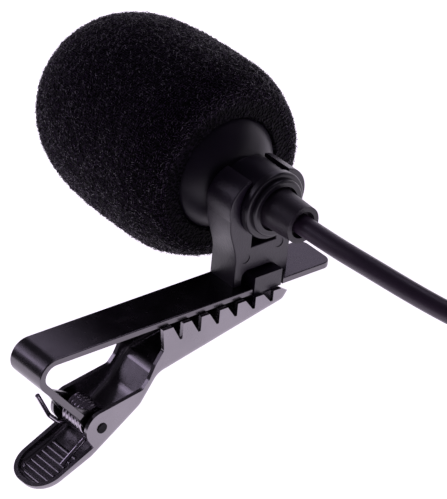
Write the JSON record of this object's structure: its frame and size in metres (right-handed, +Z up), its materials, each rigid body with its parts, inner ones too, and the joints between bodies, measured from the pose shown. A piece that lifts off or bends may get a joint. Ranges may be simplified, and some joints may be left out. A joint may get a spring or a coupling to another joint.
{
  "type": "lavalier microphone",
  "caption": "Clip-on lavalier microphone: a sprung metal tie clip with a snap-in plastic holder, a capsule in a bell housing under a foam windscreen, and a coiled cable with a jack plug.",
  "frame": {"origin": "centre of the clip and microphone's box, without the free cable, on the table", "axes": "+X along the clip towards the strap's tip, +Y along the microphone's axis towards the windscreen, +Z up"},
  "size_m": [0.0859, 0.0879, 0.0255],
  "materials": {
    "black_nickel": "polished, dark",
    "pin_steel": "matt",
    "spring_steel": "satin",
    "holder_plastic": "fine grained",
    "bell_black": "satin",
    "collar_plastic": "semi gloss",
    "boot_rubber": "satin",
    "cable_jacket": "satin",
    "foam": "open cell",
    "capsule_metal": "brushed",
    "grille_metal": "satin",
    "board_green": "satin",
    "chip_black": "moulded",
    "solder": "bright",
    "copper": "bright",
    "white_wire": "satin",
    "clear_film": "metallised film",
    "insulator_white": "moulded",
    "felt_black": "felt",
    "plug_shell_black": "fine grained",
    "plug_nickel": "polished",
    "insulator_black": "moulded",
    "tie_black": "woven"
  },
  "bodies": {
    "root": {"clip_strap": "black_nickel", "pivot_pin": "pin_steel", "torsion_spring": "spring_steel", "mic_holder": "holder_plastic", "cable_tube": "cable_jacket", "cable_coil": "cable_jacket", "cable_tail": "cable_jacket", "coil_tie": "tie_black", "plug_boot": "boot_rubber", "plug_shell": "plug_shell_black", "jack_sleeve": "plug_nickel", "jack_ring_inner": "plug_nickel", "jack_ring_outer": "plug_nickel", "jack_tip": "plug_nickel", "jack_insulators": "insulator_black"},
    "jaw": {"clip_jaw": "black_nickel"},
    "microphone": {"bell_housing": "bell_black", "rear_collar": "collar_plastic", "strain_relief": "boot_rubber", "cable_entry": "cable_jacket", "cable_crimp": "copper", "signal_wire": "white_wire", "shield_wire": "copper", "capsule_seat": "boot_rubber", "capsule_can": "capsule_metal", "capsule_board": "board_green", "solder_joints": "solder", "fet_chip": "chip_black", "diaphragm_ring": "copper", "diaphragm": "clear_film", "spacer_ring": "insulator_white", "backplate": "copper", "backplate_holder": "insulator_white", "dust_felt": "felt_black", "front_grille": "grille_metal"},
    "foam": {"windscreen": "foam"}
  },
  "joints": [
    {"name": "jaw_open", "type": "hinge", "parent": "root", "child": "jaw", "pos_m": [-0.01558, -0.0131, 0.00339], "axis": [0, 1, 0], "range_deg": [0, 25], "stiffness_Nm_per_rad": 0.06, "springref_deg": -51.57, "deforming": ["torsion_spring"]},
    {"name": "mic_turn", "type": "hinge", "parent": "root", "child": "microphone", "pos_m": [0.01357, -0.0131, 0.01367], "axis": [0, 1, 0], "range_deg": [-90, 90]},
    {"name": "windscreen_off", "type": "slide", "parent": "microphone", "child": "foam", "axis": [0, 1, 0], "range_m": [0, 0.012]}
  ]
}
